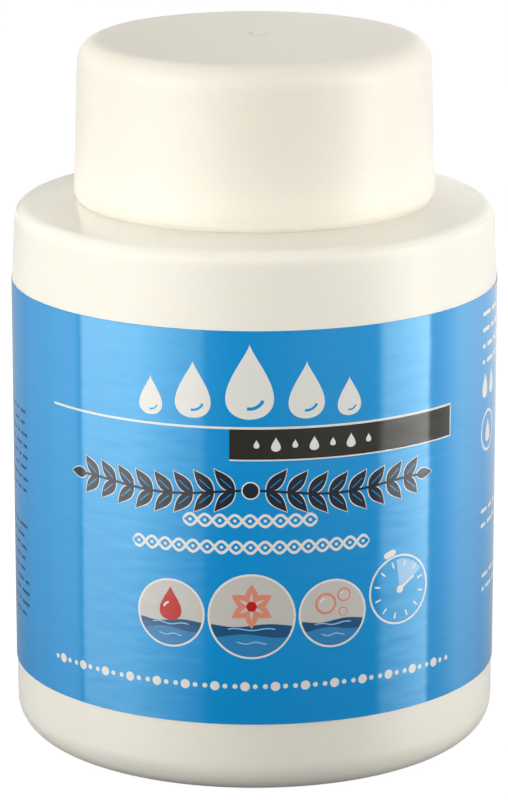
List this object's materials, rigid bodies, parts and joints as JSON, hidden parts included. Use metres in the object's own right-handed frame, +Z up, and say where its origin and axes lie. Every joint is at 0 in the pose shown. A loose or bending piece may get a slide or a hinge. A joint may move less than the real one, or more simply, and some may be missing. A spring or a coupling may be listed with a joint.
{
  "type": "nail polish remover sponge jar",
  "caption": "Round plastic jar with a wrap-around label, a foam sponge with a finger hole inside, and a smooth screw cap that unscrews and lifts off.",
  "frame": {"origin": "on the jar's axis, in the plane that the jar stands on", "axes": "+Z up along the axis of the jar and its cap, -Y towards the front of the label, where its printed face is"},
  "size_m": [0.0522, 0.0524, 0.0759],
  "materials": {
    "jar_plastic": "gloss",
    "label_print": "gloss",
    "foam": "matte",
    "liner_plastic": "satin",
    "cap_plastic": "gloss"
  },
  "bodies": {
    "jar": {"jar_body": "jar_plastic", "label": "label_print", "sponge": "foam"},
    "liner": {"cap_liner": "liner_plastic"},
    "cap": {"screw_cap": "cap_plastic"}
  },
  "joints": [
    {"name": "cap_lift", "type": "slide", "parent": "jar", "child": "liner", "axis": [0, 0, 1], "range_m": [0, 0.02]},
    {"name": "cap_turn", "type": "hinge", "parent": "liner", "child": "cap", "pos_m": [0, 0, 0.0759], "axis": [0, 0, 1], "range_deg": [0, 1800]}
  ],
  "couplings": [
    {"joint": "cap_lift", "follows": "cap_turn", "m_per_rad": 0.00063662}
  ]
}
